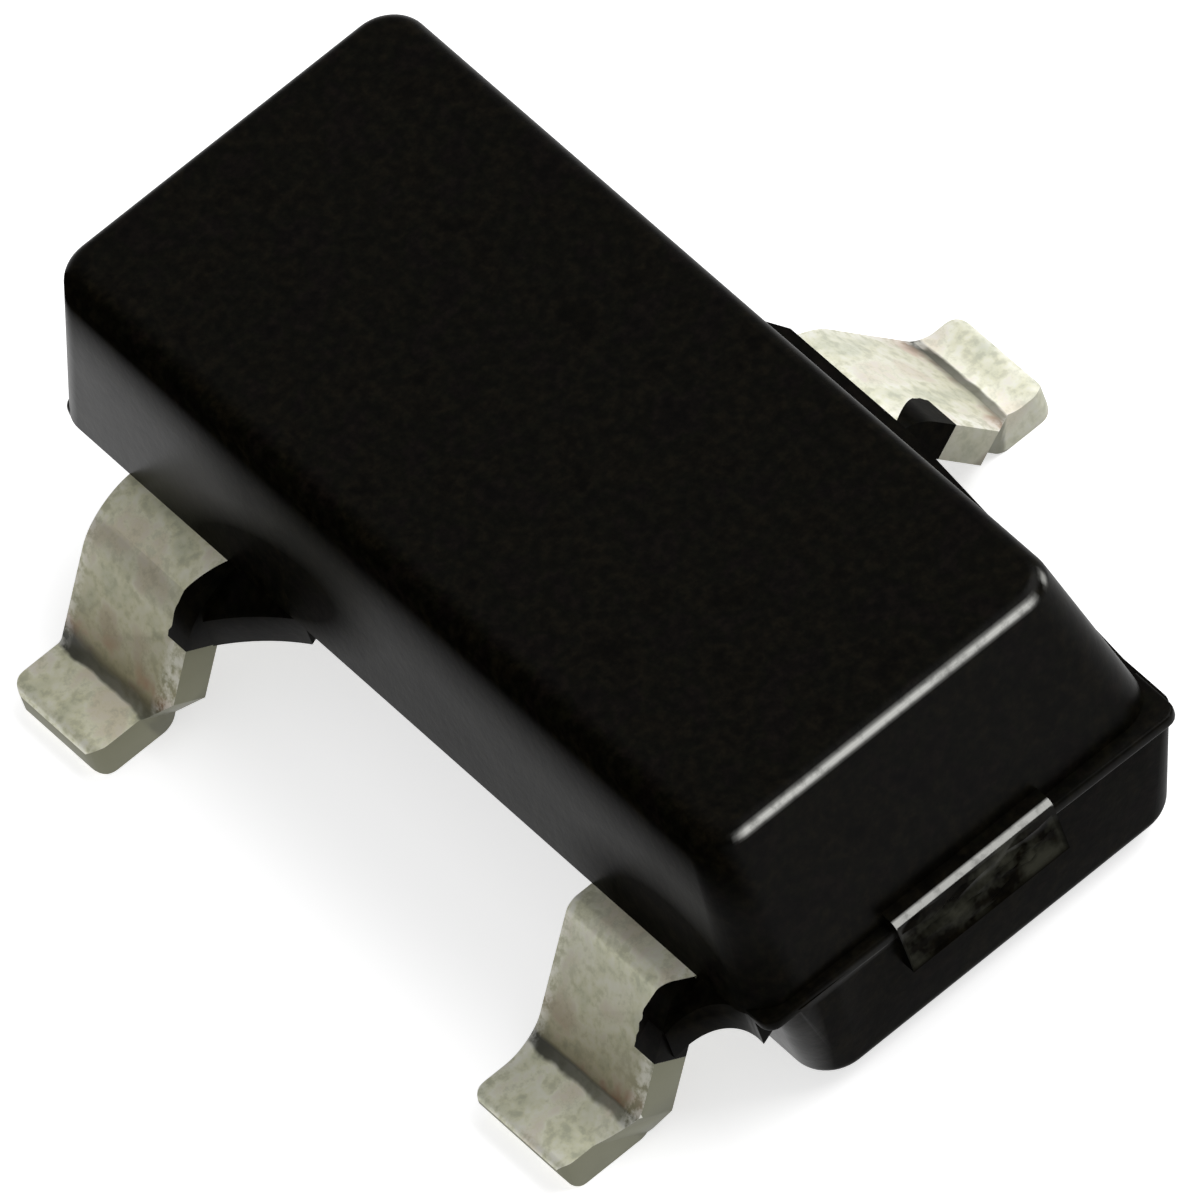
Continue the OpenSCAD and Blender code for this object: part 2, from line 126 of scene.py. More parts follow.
class MouldingSizes(PropertyGroup):
    """Sizes of the moulded body"""

    length: a_length("Length", "Length at the parting line", 2.9)
    width: a_length("Width", "Width at the parting line", 1.3)
    upper_draft: an_angle("Upper draft", "Draft of the upper half", 9.5)
    lower_draft: an_angle("Lower draft", "Draft of the lower half", 8)
    upper_corners: a_length(
        "Upper corners", "Radius of its upright corners at the parting line and at the top", 0.11, 0.11
    )
    lower_corners: a_length(
        "Lower corners", "Radius of its upright corners at the parting line and underside", 0.06, 0.11
    )
    top_edge: a_length("Top edge", "Radius round the top face", 0.045)
    bottom_edge: a_length("Bottom edge", "Radius round the underside", 0.06)
    set_in: a_length("Set-in", "How far the lower half is set in from the upper one", 0.02)
    upper_shift: a_length(
        "Upper mismatch", "How far off centre the upper half of the mould sat", -0.025, -0.012
    )
    lower_shift: a_length(
        "Lower mismatch", "How far off centre the lower half of the mould sat", 0.025, 0.03
    )
    fin: a_length(
        "Fin", "Thickness of the fin, radius of its corners, reach of its back corner", 0.035, 0.04, 0.025
    )
    gate: a_length(
        "Gate", "Width of the broken gate, and its reach up, down and out", 0.5, 0.05, 0.14, 0.025
    )
    gate_ledge: a_length("Gate's ledge", "Radius of the ledge above the gate", 0.02)
    web_reach: a_length(
        "Web reach", "Reach along the body of the webs beside the three leads", 0.3, 0.24, 0.06
    )
    web_hollow: a_length("Web hollow", "Hollow of the three webs' free edges", 0.01, 0.05, 0.01)
    web: a_length(
        "Web", "Reach of a web, half the width of its end, and how far that hangs down", 0.15, 0.035, 0.09
    )
    flash: a_length(
        "Flash", "Reach and length of the back flash, and its two runs to nothing", 0.085, 0.5, 0.2, 1.0
    )


class LeadSizes(PropertyGroup):
    """Sizes of the leads. Where there are three values, they are the base, emitter and collector lead's"""

    pitch: a_length("Pitch", "Distance between the front leads", 1.9)
    width: a_length("Width", "Width of a lead", 0.4)
    thickness: a_length("Thickness", "Thickness of the frame metal", 0.1)
    slope: an_angle("Slope", "Slope of the three legs, measured from the board", 58, 57, 52)
    knee: a_length("Knee", "Radius over the three knees", 0.23, 0.05, 0.2)
    crease: a_length("Crease", "Radius of the three creases between leg and foot", 0.02, 0.16, 0.1)
    foot: a_length("Foot", "Length of the three feet, from crease to toe", 0.17, 0.205, 0.13)
    foot_in: a_length(
        "Foot set-in", "How far the trimmed side of the three feet is set in", 0.05, 0.035, 0.045
    )
    toe_lean: a_length(
        "Toe lean", "How far the cut end face of the three toes leans in toward the sole", 0.0, 0.03, 0.0
    )
    stub_out: a_length(
        "Stub", "How far the stub of the frame's tie bar stands out on the three legs", 0.04, 0.022, 0.035
    )
    stub: a_length(
        "Stub length", "Length of that stub, and of the run in from it to the foot's side", 0.16, 0.1
    )
    notch: a_length("Notch", "Depth of the three trimming notches", 0.035, 0.06, 0.08)
    notch_start: a_length(
        "Notch start", "Distance from the body to the start of the three notches", 0.03, 0.05, 0.1
    )
    notch_end: a_length(
        "Notch end", "Distance along the metal to a notch's end, length of its slanted start", 0.295, 0.09
    )
    torn: a_length("Torn edge", "How far a notch's edge wanders where the trimming punch tore it", 0.008)
    heel: a_length("Heel", "Radius under the heels", 0.05)
    hollow: a_length("Hollow", "Smallest radius under a knee", 0.04)
    toe: a_length("Toe", "Rounding of the toes seen from the side and from above", 0.03, 0.05)
    root: a_length("Root", "Length of a lead's bent part inside the body", 0.1)
    neck: a_length("Neck", "Length of a front lead's and the back lead's neck inside the body", 0.12, 0.17)
    frame_corner: a_length("Frame corners", "Radius of the inner frame's corners", 0.04)
    sheared_edge: a_length("Sheared edge", "Rounding of the stamped edges", 0.009)


class Finishes(PropertyGroup):
    """Colours of the finishes, as written in sRGB"""

    compound: a_colour("Compound", "Black mould compound", "#0d0c09")
    # The painted highlight's pale colour, on the top edge at the gate's end and on the gate's ledge
    highlight_paint: a_colour("Filler", "Rubbed compound", "#dbdbd6")
    tin: a_colour("Tin", "Matte tin plating", "#fffff6")
    # Bare metal on the toe's cut end, and painted shade on the sheared sides
    bare_end_and_side_shade: a_colour("Cut metal", "Sheared sides", "#8f8f80")
    # Soiling and painted shade in the crease's hollow
    crease_grime_shade: a_colour("Grime", "Dirt in a crease", "#2b2b1c")
    copper: a_colour("Copper", "Bare copper alloy", "#a86b4d")
    gold: a_colour("Gold", "Bond wire gold", "#edba5c")


class StudioSettings(PropertyGroup):
    """The photograph's view and the light"""

    azimuth: an_angle("Azimuth", "Camera's azimuth", 69.12)
    elevation: an_angle("Elevation", "Camera's elevation", 49.96)
    roll: an_angle("Roll", "Camera's roll", -22.24)
    distance: a_length("Distance", "Camera to object", 93.78)
    aim: a_length("Aim", "Point in the middle of the view", 0.04, -0.103, 0.411)
    lens: FloatProperty(name="Lens", description="Focal length in mm", default=1146.6, unit="CAMERA")
    world_level: FloatProperty(name="World", description="Strength of the even light", default=0.36)
    key_level: FloatProperty(
        name="Key", description="Light that the key lamp gives a surface facing it", default=0.85
    )
    floor_lift: FloatProperty(
        name="Floor lift", description="Light added to the floor where the camera sees it", default=0.65
    )


def in_mm(lengths):
    """Lengths of a property, in millimetres."""
    return [length * MM for length in lengths]


def mode(name):
    """Switches the active object to edit mode or object mode."""
    bpy.ops.object.mode_set(mode=name)


def only(piece):
    """Selects one object and makes it active."""
    bpy.ops.object.select_all(action="DESELECT")
    piece.select_set(True)
    bpy.context.view_layer.objects.active = piece


def apply_place(piece):
    """Writes a piece's place, turn and scale into its mesh."""
    only(piece)
    bpy.ops.object.transform_apply(location=True, rotation=True, scale=True)


def block(name, corner, opposite):
    """A box between two opposite corners, in millimetres, with its place in its mesh."""
    corner, opposite = Vector(corner), Vector(opposite)
    bpy.ops.object.select_all(action="DESELECT")
    bpy.ops.mesh.primitive_cube_add(size=1, location=(corner + opposite) / 2)
    piece = bpy.context.object
    piece.name = name
    piece.scale = [abs(side) for side in opposite - corner]
    apply_place(piece)
    return piece


def middle(edge):
    """The middle of an edge."""
    return (edge.verts[0].co + edge.verts[1].co) / 2


def edge_along(axis, **places):
    """A test for an edge that runs along an axis and has its middle at the given x, y and z."""

    def test(edge):
        run, spot = edge.verts[1].co - edge.verts[0].co, middle(edge)
        there = all(abs(getattr(spot, name) - place) < NEAR for name, place in places.items())
        return there and abs(getattr(run, axis)) > ALONG * run.length

    return test


def facing(*direction):
    """A test for a face that points in the direction."""
    return lambda face: face.normal.dot(direction) > FACING


def pick(piece, kind, test):
    """In edit mode, selects just the faces, edges or vertices that pass the test."""
    bpy.ops.mesh.select_mode(type=kind)
    bpy.ops.mesh.select_all(action="DESELECT")
    mesh = bmesh.from_edit_mesh(piece.data)
    parts = {"FACE": mesh.faces, "EDGE": mesh.edges, "VERT": mesh.verts}[kind]
    found = [part for part in parts if test(part)]
    if not found:
        raise RuntimeError(f"nothing to select on {piece.name}")
    for part in found:
        part.select_set(True)
    mesh.select_flush_mode()
    bmesh.update_edit_mesh(piece.data)


def extrude(piece, test, way):
    """Extrudes the faces that pass the test."""
    pick(piece, "FACE", test)
    bpy.ops.mesh.extrude_region_move(TRANSFORM_OT_translate={"value": way})


def shift_edges(piece, test, way):
    """Moves the edges that pass the test."""
    pick(piece, "EDGE", test)
    bpy.ops.transform.translate(value=way)


def round_edges(piece, test, reach, segments):
    """Rounds the edges that pass the test. reach is the distance from the edge to where the arc starts."""
    pick(piece, "EDGE", test)
    bpy.ops.mesh.bevel(offset_type="OFFSET", offset=reach, segments=segments, profile=0.5, affect="EDGES")


def apply_modifier(piece, kind, **settings):
    """Adds a modifier with these settings and applies it."""
    only(piece)
    modifier = piece.modifiers.new(kind.lower(), kind)
    for name, value in settings.items():
        setattr(modifier, name, value)
    bpy.ops.object.modifier_apply(modifier=modifier.name)


def combine(piece, tool, operation):
    """Adds the tool to the piece or cuts it out, and removes the tool."""
    apply_modifier(piece, "BOOLEAN", object=tool, operation=operation, solver="EXACT")
    bpy.data.objects.remove(tool)


def finish_piece(piece, node, material):
    """Brings a piece down to its real size and hands it over in place of its node."""
    piece.scale = Vector((1, 1, 1)) / MM
    apply_place(piece)
    bpy.ops.object.shade_smooth_by_angle(angle=math.radians(30))
    apply_modifier(piece, "WEIGHTED_NORMAL", keep_sharp=True, weight=100)
    piece.data.materials.clear()
    piece.data.materials.append(material)
    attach(piece, "root")
    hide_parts(node)


def tidy_mesh(piece, threshold=0.0002):
    """Merges doubled vertices and turns all faces outwards."""
    only(piece)
    mode("EDIT")
    bpy.ops.mesh.select_all(action="SELECT")
    bpy.ops.mesh.remove_doubles(threshold=threshold)
    bpy.ops.mesh.normals_make_consistent(inside=False)
    mode("OBJECT")


def node_copy(node):
    """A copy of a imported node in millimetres, for cutting. It hands no shading on to what it cuts."""
    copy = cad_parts[node].copy()
    copy.data = copy.data.copy()
    copy.parent = None
    copy.name = node + "_cutter"
    copy.data.transform(Matrix.Scale(MM, 4))
    bpy.context.scene.collection.objects.link(copy)
    tidy_mesh(copy)
    bpy.ops.mesh.customdata_custom_splitnormals_clear()
    return copy


def write_attribute(piece, name, value, domain="POINT"):
    """Stores one number at each vertex, given by a function of its place, or at each face."""
    layer = piece.data.attributes.new(name, "FLOAT", domain)
    if domain == "FACE":
        given = [value(face) for face in piece.data.polygons]
    else:
        given = [value(vertex.co) for vertex in piece.data.vertices]
    layer.data.foreach_set("value", given)


def near_any(p, edges, distance):
    """True if the point is within the distance of one of the edges, given by their ends."""
    for start, end in edges:
        run = end - start
        along = min(max((p - start).dot(run) / run.length_squared, 0), 1)
        if (start + run * along - p).length < distance:
            return True
    return False


def smooth_step(low, high, x):
    """0 below the low value and 1 above the high one, with a soft rise between."""
    t = min(max((x - low) / (high - low), 0), 1)
    return t * t * (3 - 2 * t)


def mould_half(name, length, width, far_level, draft, corners, edge, shift):
    """One drafted half of the moulding, from the parting level to its far face."""
    near_corner, far_corner = in_mm(corners)
    place = Vector((*shift, 0)) * MM
    rise = far_level - parting_level
    half = block(
        name,
        (place.x - length / 2, place.y - width / 2, parting_level),
        (place.x + length / 2, place.y + width / 2, far_level),
    )
    mode("EDIT")
    inward = 2 * abs(rise) * math.tan(draft)
    pick(half, "FACE", facing(0, 0, math.copysign(1, rise)))
    bpy.ops.transform.resize(
        value=(1 - inward / length, 1 - inward / width, 1), center_override=(place.x, place.y, far_level)
    )
    round_edges(half, edge_along("z"), far_corner, 12)
    reach = edge * MM * math.tan((math.pi / 2 - draft) / 2)
    round_edges(half, lambda e: all(abs(v.co.z - far_level) < NEAR for v in e.verts), reach, 8)
    if near_corner != far_corner:
        tighter = near_corner / far_corner
        for sx, sy in ((-1, -1), (1, -1), (1, 1), (-1, 1)):
            corner = Vector((place.x + sx * length / 2, place.y + sy * width / 2, parting_level))
            pick(half, "VERT", lambda v: max(abs(c) for c in v.co - corner) < far_corner + NEAR)
            bpy.ops.transform.resize(value=(tighter, tighter, 1), center_override=corner)
    mode("OBJECT")
    return half


class Bend:
    """One lead's bent part in millimetres, with the side of the body at y = 0 and the leg toward -Y.

    Its trimmed side is at +X where side is 1 and at -X where side is -1."""

    def __init__(self, i, sizes, leads):
        self.node = LEADS[i]
        self.front = i < 2
        self.side = 1 if self.front else -1
        self.place = Vector(((-1, 1, 0)[i] * leads.pitch * MM / 2, -self.side * sizes.width * MM / 2, 0))
        self.half = leads.width * MM / 2
        self.thick = leads.thickness * MM
        self.top = parting_level
        self.under = self.top - self.thick
        self.slope = leads.slope[i]
        self.reach = (toe_line if self.front else back_toe_line) - sizes.width * MM / 2
        self.crease = self.reach - leads.foot[i] * MM
        self.knee = self.crease - self.under / math.tan(self.slope)
        self.inset = self.thick * math.tan(self.slope / 2)
        self.knee_r = leads.knee[i] * MM
        self.hollow_r = max(self.knee_r - self.thick, leads.hollow * MM)
        self.crease_r = leads.crease[i] * MM
        self.heel_r = leads.heel * MM
        self.lean = leads.toe_lean[i] * MM
        self.stub_out = leads.stub_out[i] * MM
        self.foot_in = leads.foot_in[i] * MM
        self.root = leads.root * MM
        self.notch = leads.notch[i] * MM
        self.notch_start = leads.notch_start[i] * MM
        self.notch_end, self.notch_slant = in_mm(leads.notch_end)
        self.stub_l, self.stub_run = in_mm(leads.stub)
        self.torn = leads.torn * MM
        self.toe_side, self.toe_above = in_mm(leads.toe)


def put_in_place(piece, bend):
    """Turns and moves a piece of a lead from beside y = 0 to its side of the body."""
    piece.rotation_euler.z = 0 if bend.front else math.pi
    piece.location = bend.place
    apply_place(piece)


def bent_strip(bend):
    """The bent part of a lead before its notch is cut, from inside the body to the toe."""
    strip = block(
        bend.node.replace("_lead", "_lead_strip"),
        (-bend.side * bend.half, -bend.knee, bend.under),
        (bend.side * (bend.half + bend.stub_out), bend.root, bend.top),
    )
    mode("EDIT")
    shift_edges(strip, edge_along("x", y=-bend.knee, z=bend.under), (0, bend.inset, 0))
    leg, foot = (0, bend.knee - bend.crease, bend.thick - bend.top), (0, bend.crease - bend.reach, 0)
    for way in (leg, foot):
        end = min(v.co.y for v in bmesh.from_edit_mesh(strip.data).verts) + bend.inset
        extrude(strip, lambda f: all(v.co.y < end + NEAR for v in f.verts), way)
    shift_edges(strip, edge_along("x", y=bend.inset - bend.reach, z=0), (0, bend.lean - bend.inset, 0))
    bends = (
        (-bend.knee, bend.top, bend.knee_r, 14),
        (bend.inset - bend.knee, bend.under, bend.hollow_r, 12),
        (-bend.crease, bend.thick, bend.crease_r, 12),
        (bend.inset - bend.crease, 0, bend.heel_r, 12),
    )
    for y, z, radius, segments in bends:
        round_edges(strip, edge_along("x", y=y, z=z), radius * math.tan(bend.slope / 2), segments)
    mode("OBJECT")
    combine(strip, side_cutter(bend), "DIFFERENCE")
    mode("EDIT")
    across, end = edge_along("x"), bend.lean - bend.reach + NEAR
    round_edges(strip, lambda e: across(e) and middle(e).y < end, bend.toe_side, 6)
    mode("OBJECT")
    combine(strip, corner_cutter(bend), "DIFFERENCE")
    tidy_mesh(strip, threshold=0.0006)
    return strip


def side_cutter(bend):
    """What lies beside the foot on the trimmed side. It is drawn along the leg and turned to its slope."""
    stub, foot = bend.side * (bend.half + bend.stub_out), bend.side * (bend.half - bend.foot_in)
    stub_end = bend.knee - bend.notch_end - bend.stub_l
    cutter = block(
        "side_cutter",
        (foot, -2 * bend.reach, -bend.top),
        (bend.side * 2 * bend.half, stub_end - bend.stub_run, bend.top),
    )
    mode("EDIT")
    extrude(cutter, facing(0, 1, 0), (0, bend.stub_run, 0))
    shift_edges(cutter, edge_along("z", x=foot, y=stub_end), (stub - foot, 0, 0))
    mode("OBJECT")
    cutter.rotation_euler.x = bend.slope
    cutter.location = (0, -bend.knee, bend.top)
    apply_place(cutter)
    return cutter


def corner_cutter(bend):
    """What lies round the toe's two rounded corners, seen from above."""
    plain, trimmed = -bend.side * bend.half, bend.side * (bend.half - bend.foot_in)
    toe = -bend.reach
    end = toe + bend.toe_above
    kept = block("toe_plan", (plain, toe, -bend.top), (trimmed, end + bend.half, 2 * bend.top))
    mode("EDIT")
    round_edges(kept, edge_along("z", y=toe), bend.toe_above, 8)
    mode("OBJECT")
    cutter = block("corner_cutter", (2 * plain, 2 * toe, -bend.thick), (2 * trimmed, end, 2 * bend.thick))
    combine(cutter, kept, "DIFFERENCE")
    return cutter


def tear_face(piece, test, cuts, depth, seed):
    """Makes the flat face that passes the test uneven, up to the depth. It faces along X."""
    pick(piece, "FACE", test)
    bpy.ops.mesh.subdivide(number_cuts=cuts)
    pick(piece, "VERT", lambda v: all(test(f) and abs(f.normal.x) > FACING for f in v.link_faces))
    bpy.ops.transform.vertex_random(offset=depth, uniform=0.0, normal=1.0, seed=seed)
    bpy.ops.mesh.select_all(action="SELECT")
    bpy.ops.mesh.quads_convert_to_tris()


def trimming_punch(bend, seed):
    """The punch that cut a lead's notch. It slants in from the body and ends square to the leg."""
    inner, beyond = bend.side * (bend.half - bend.notch), bend.side * 2 * bend.half
    near = -bend.notch_start - bend.notch_slant
    punch = block("punch", (inner, -2 * bend.reach, 0), (beyond, near, bend.top + bend.thick))
    mode("EDIT")
    flare = bend.notch_slant + bend.half * bend.notch_slant / bend.notch
    shift_edges(punch, edge_along("z", x=beyond, y=near), (0, flare, 0))
    square = Vector((0, math.cos(bend.slope), math.sin(bend.slope)))
    far_end = Vector((0, -bend.knee, bend.top)) + (bend.knee - bend.notch_end) * square
    bpy.ops.mesh.select_all(action="SELECT")
    bpy.ops.mesh.bisect(plane_co=far_end, plane_no=square, use_fill=True, clear_inner=True)
    on_edge = lambda f: abs(f.calc_center_median().x - inner) < NEAR
    tear_face(punch, on_edge, cuts=15, depth=bend.torn, seed=seed)
    mode("OBJECT")
    return punch


def resin_web(bend, i, sizes, root):
    """The web of resin beside a lead's notch. Its free edge is hollow, and it hangs down like the lead."""
    out, end, droop = in_mm(sizes.web)
    reach, hollow = sizes.web_reach[i] * MM, sizes.web_hollow[i] * MM
    web = block(
        f"web_{i}", (bend.half - end, -out, bend.top - bend.thick), (bend.half + reach, root, bend.top)
    )
    outer, inner = Vector((bend.half + end, -out)), Vector((bend.half + reach, 0))
    chord = inner - outer
    radius = (chord.length_squared / 4 + hollow * hollow) / (2 * hollow)
    away = Vector((chord.y, -chord.x)).normalized()
    centre = (outer + inner) / 2 + away * (radius - hollow)
    bpy.ops.object.select_all(action="DESELECT")
    bpy.ops.mesh.primitive_cylinder_add(
        vertices=256, radius=radius, depth=2 * bend.top, location=(centre.x, centre.y, bend.top)
    )
    combine(web, bpy.context.object, "DIFFERENCE")
    hanging = Matrix.Identity(4)
    hanging[2][1] = droop / out
    web.data.transform(hanging)
    web.location = (bend.place.x, -abs(bend.place.y), 0)
    apply_place(web)
    if not bend.front:
        web.scale.y = -1
        apply_place(web)
        tidy_mesh(web)
    return web


def back_flash(bend, sizes, root):
    """Resin that bled along the parting line over the back lead and beside it."""
    out, length, near_run, far_run = in_mm(sizes.flash)
    half = sizes.fin[0] * MM / 2
    side = sizes.width * MM / 2
    start, end = -bend.half, -bend.half + length
    flash = block("flash", (start, side - root, bend.top - half), (end, side + out, bend.top + half))
    mode("EDIT")
    for sign, x, run in ((-1, start, near_run), (1, end, far_run)):
        extrude(flash, facing(sign, 0, 0), (sign * run, 0, 0))
        shift_edges(flash, edge_along("z", x=x + sign * run, y=side + out), (0, -out, 0))
    mode("OBJECT")
    return flash


class TRANSISTOR_OT_moulding(Operator):
    """Model the black moulding, from its two drafted halves to the webs and the broken gate"""

    bl_idname = "transistor.moulding"
    bl_label = "Moulding"

    def execute(self, context):
        sizes, leads = context.scene.moulding_sizes, context.scene.lead_sizes
        bends = [Bend(i, sizes, leads) for i in range(3)]
        length, width, set_in = in_mm((sizes.length, sizes.width, sizes.set_in))
        root = sizes.upper_corners[0] * MM
        upper = (sizes.upper_draft, sizes.upper_corners, sizes.top_edge, sizes.upper_shift)
        lower = (sizes.lower_draft, sizes.lower_corners, sizes.bottom_edge, sizes.lower_shift)
        body = mould_half("transistor_moulding", length, width, top_level, *upper)
        lower_half = mould_half("lower_half", length - 2 * set_in, width - 2 * set_in, underside, *lower)
        combine(body, lower_half, "UNION")
        combine(body, self.parting_fin(sizes, length, width), "UNION")
        combine(body, self.broken_gate(sizes, length / 2), "UNION")
        combine(body, back_flash(bends[2], sizes, root), "UNION")
        for i, bend in enumerate(bends):
            combine(body, resin_web(bend, i, sizes, root), "UNION")
        for node in LEADS + INNER_NODES:
            combine(body, node_copy(node), "DIFFERENCE")
        # Black resin in the notches, standing in for the shade seen through them
        for i, bend in enumerate(bends):
            combine(body, self.notch_shade_fill(bend, i), "UNION")
        # The painted highlight on the top edge at the gate's end and on the gate's ledge
        write_attribute(body, "wear_and_painted_light", lambda p: painted_highlight_at(p, sizes, length, width))
        write_attribute(body, "torn", lambda p: torn_at(p, sizes, length))
        finish_piece(body, "molded_body", moulded_epoxy(context.scene.finishes))
        return {"FINISHED"}

    @staticmethod
    def parting_fin(sizes, length, width):
        """The thin fin along the parting line. Its back corner at the gate's end reaches further out."""
        thick, corner, ear = in_mm(sizes.fin)
        half = thick / 2
        low, high = parting_level - half, parting_level + half
        fin = block("fin", (-length / 2, -width / 2, low), (length / 2, width / 2, high))
        mode("EDIT")
        shift_edges(fin, edge_along("z", x=length / 2, y=width / 2), (ear, 0, 0))
        round_edges(fin, edge_along("z"), corner, 5)
        round_edges(fin, lambda e: min(abs(middle(e).z - z) for z in (low, high)) < NEAR, half * 0.5, 3)
        mode("OBJECT")
        return fin

    @staticmethod
    def broken_gate(sizes, end):
        """The stub of the gate: a ledge above, and a torn face below it."""
        across, up, down, out = in_mm(sizes.gate)
        low, high = parting_level - down, parting_level + up
        merged = 0.1  # how far the gate starts inside the body
        gate = block("gate", (end - merged, -across / 2, low), (end + out, across / 2, high))
        mode("EDIT")
        round_edges(gate, edge_along("y", x=end + out, z=high), sizes.gate_ledge * MM, 4)
        pick(gate, "FACE", facing(1, 0, 0))
        bpy.ops.mesh.inset(thickness=RIM, depth=0.0)
        bpy.ops.transform.translate(value=(-TEAR * out, 0, 0))
        tear_face(gate, facing(1, 0, 0), cuts=9, depth=TEAR * out, seed=5)
        mode("OBJECT")
        return gate

    @staticmethod
    def notch_shade_fill(bend, i):
        """Black resin put in a lead's notch, where it stands in for the shade seen through it. The web
        holds it.
        """
        shade_fill = bent_strip(bend)
        combine(shade_fill, trimming_punch(bend, i), "INTERSECT")
        put_in_place(shade_fill, bend)
        return shade_fill


def painted_highlight_at(p, sizes, length, width):
    """How strong the painted highlight is at a point, a pale colour standing in for the light's reflection:
    the lower part of the top edge at the gate's end, a dot on the corner beside it, and the gate's ledge."""
    radius = sizes.top_edge * MM
    if p.z > top_level - radius * 1.1:
        turned = math.degrees(math.acos(min(max((p.z - top_level + radius) / radius, 0), 1)))
        on_edge = smooth_step(36, 50, turned) * (1 - smooth_step(62, 74, turned))
        corner = sizes.upper_corners[1] * MM
        inset = (top_level - parting_level) * math.tan(sizes.upper_draft)
        end = length / 2 + sizes.upper_shift[0] * MM - inset
        side = width / 2 - inset
        across = p.y - sizes.upper_shift[1] * MM
        past = (abs(across) - side + corner) / corner
        dot = smooth_step(0.6, 0.7, past) * (1 - smooth_step(0.76, 0.86, past)) if across > 0 else 0
        return on_edge * max(1 - smooth_step(-0.1, 0.4, past), 0.4 * dot) if p.x > end - corner else 0.0
    across, up, _, out = in_mm(sizes.gate)
    ledge = sizes.gate_ledge * MM
    beyond = p.x - length / 2 - out + ledge
    above = p.z - parting_level - up + ledge
    on_ledge = beyond > 0.1 * ledge and above > 0.1 * ledge
    return 0.75 if on_ledge and abs(p.y) < across / 2 + NEAR else 0.0


def torn_at(p, sizes, length):
    """1 on the torn face of the gate, and 0 elsewhere."""
    across, up, down, out = in_mm(sizes.gate)
    rim = RIM / 2
    inside = abs(p.y) < across / 2 - rim and rim - down < p.z - parting_level < up - rim
    return 1.0 if inside and p.x > length / 2 + TEAR * out else 0.0


class TRANSISTOR_OT_leads(Operator):
    """Bend, trim and finish the three leads"""

    bl_idname = "transistor.leads"
    bl_label = "Leads"

    def execute(self, context):
        sizes, leads = context.scene.moulding_sizes, context.scene.lead_sizes
        tin = tinned_frame(context.scene.finishes)
        burr = leads.sheared_edge * MM
        for i, node in enumerate(LEADS):
            bend = Bend(i, sizes, leads)
            lead = bent_strip(bend)
            combine(lead, trimming_punch(bend, i), "DIFFERENCE")
            combine(lead, self.flat_end(leads, bend, sizes.width * MM / 2), "UNION")
            tidy_mesh(lead)
            edges = self.sheared_edges(lead)
            apply_modifier(lead, "BEVEL", width=burr, segments=2, limit_method="ANGLE", angle_limit=SHARP)
            write_attribute(lead, "run", lambda p: self.run_at(-p.y, p.z, bend))
            write_attribute(lead, "across", lambda p: bend.side * p.x / bend.half)
            # Faces of the burr, which get a painted highlight
            write_attribute(lead, "burr", lambda f: float(near_any(f.center, edges, 0.7 * burr)), "FACE")
            # Each lead's painted light and shade: the front leads sit in the body's shade, the back lead in
            # the lamp's light
            write_attribute(lead, "tone", lambda p: i / 2)
            write_attribute(lead, "cut", lambda f: self.cut_at(f, bend), "FACE")
            put_in_place(lead, bend)
            finish_piece(lead, node, tin)
        return {"FINISHED"}

    @staticmethod
    def sheared_edges(lead):
        """The ends of each sharp edge outside the body."""
        mesh = bmesh.new()
        mesh.from_mesh(lead.data)
        sharp = [e for e in mesh.edges if e.calc_face_angle(0) > SHARP and middle(e).y < 0]
        ends = [(edge.verts[0].co.copy(), edge.verts[1].co.copy()) for edge in sharp]
        mesh.free()
        return ends

    @staticmethod
    def flat_end(leads, bend, side):
        """The part inside the body: a wide wire land on a front lead, the chip's paddle on the back one."""
        neck = leads.neck[0 if bend.front else 1] * MM
        if bend.front:
            depth = finger_end + side
            widened = [(-math.copysign(1, bend.place.x), abs(bend.place.x) - abs(finger_inner))]
        else:
            depth = side - paddle_front
            widened = [(1, paddle_half), (-1, paddle_half)]
        flat = block("flat_end", (-bend.half, bend.root / 2, bend.under), (bend.half, neck, bend.top))
        mode("EDIT")
        extrude(flat, facing(0, 1, 0), (0, depth - neck, 0))
        for sign, reach in widened:
            outward = facing(sign, 0, 0)
            beyond = lambda f: outward(f) and f.calc_center_median().y > neck + NEAR
            extrude(flat, beyond, (sign * (reach - bend.half), 0, 0))
        corner, upright = leads.frame_corner * MM, edge_along("z")
        round_edges(flat, lambda e: upright(e) and middle(e).y > neck + NEAR, corner, 5)
        round_edges(flat, edge_along("z", y=neck), min(corner, 0.7 * (neck - bend.root)), 5)
        mode("OBJECT")
        return flat

    @staticmethod
    def cut_at(face, bend):
        """1 on a sheared side and on the toe's end face, 0 on rolled faces."""
        upright = abs(face.normal.z) < 0.3 and face.center.z < bend.thick
        return 1.0 if upright or abs(face.normal.x) > max(0.3, abs(face.normal.z)) else 0.0

    @staticmethod
    def run_at(u, z, bend):
        """Place along the strip: 0 at the body, 1 at the knee, 2 at the crease and 3 at the toe."""
        if u <= bend.knee:
            return max(u / bend.knee, -1)
        down = (bend.top - z) / (bend.top - bend.thick)
        above_crease = u < bend.crease - 0.02 or down < 0.7
        if above_crease:
            return 1 + min(max(down, 0), 1)
        return 2 + min(max((u - bend.crease) / (bend.reach - bend.crease), 0), 1)


